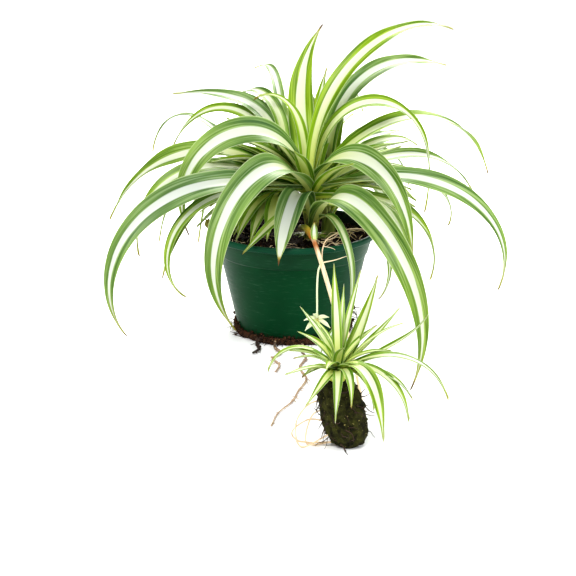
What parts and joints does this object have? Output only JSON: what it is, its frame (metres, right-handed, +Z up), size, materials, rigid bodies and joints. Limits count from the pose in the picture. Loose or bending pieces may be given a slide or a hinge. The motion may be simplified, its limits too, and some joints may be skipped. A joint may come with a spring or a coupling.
{
  "type": "potted spider plant",
  "caption": "Potted spider plant with long arching striped leaves in a round green grower's pot, and a runner that carries one rooted plantlet.",
  "frame": {"origin": "centre of the pot's flat foot, on the surface that it stands on", "axes": "+Z up, -Y towards the front, where the runner and its plantlet lie, +X to the right seen from the front"},
  "size_m": [0.2728, 0.398, 0.2025],
  "materials": {
    "pot": "satin",
    "soil": "matte",
    "soil_crust": "matte",
    "crown": "satin",
    "leaf": "satin",
    "stolon": "satin",
    "flower": "satin",
    "dry_root": "matte",
    "dark_root": "matte",
    "dry_bud": "matte",
    "plug": "matte"
  },
  "bodies": {
    "root": {"pot": "pot", "soil": "soil", "soil_crust": "soil_crust", "crown": "crown", "leaf_01": "leaf", "leaf_02": "leaf", "leaf_03": "leaf", "leaf_04": "leaf", "leaf_05": "leaf", "leaf_06": "leaf", "leaf_07": "leaf", "leaf_08": "leaf", "leaf_09": "leaf", "leaf_10": "leaf", "leaf_11": "leaf", "leaf_12": "leaf", "leaf_13": "leaf", "leaf_14": "leaf", "leaf_15": "leaf", "leaf_16": "leaf", "leaf_17": "leaf", "leaf_18": "leaf", "leaf_19": "leaf", "leaf_20": "leaf", "leaf_21": "leaf", "leaf_22": "leaf", "leaf_23": "leaf", "leaf_24": "leaf", "leaf_25": "leaf", "leaf_26": "leaf", "leaf_27": "leaf", "leaf_28": "leaf", "leaf_29": "leaf", "leaf_30": "leaf", "leaf_31": "leaf", "leaf_32": "leaf", "leaf_33": "leaf", "leaf_34": "leaf", "leaf_35": "leaf", "leaf_36": "leaf", "leaf_37": "leaf", "leaf_38": "leaf", "leaf_39": "leaf", "leaf_40": "leaf", "leaf_41": "leaf", "leaf_42": "leaf", "leaf_43": "leaf", "leaf_44": "leaf", "leaf_45": "leaf", "stolon": "stolon", "flower": "flower", "aerial_root": "dry_root", "drain_root_short": "dark_root", "drain_root_wavy": "dry_root", "drain_root_long": "dry_root", "dry_bud": "dry_bud", "plantlet_leaves": "leaf", "plantlet_plug": "plug"}
  },
  "joints": []
}
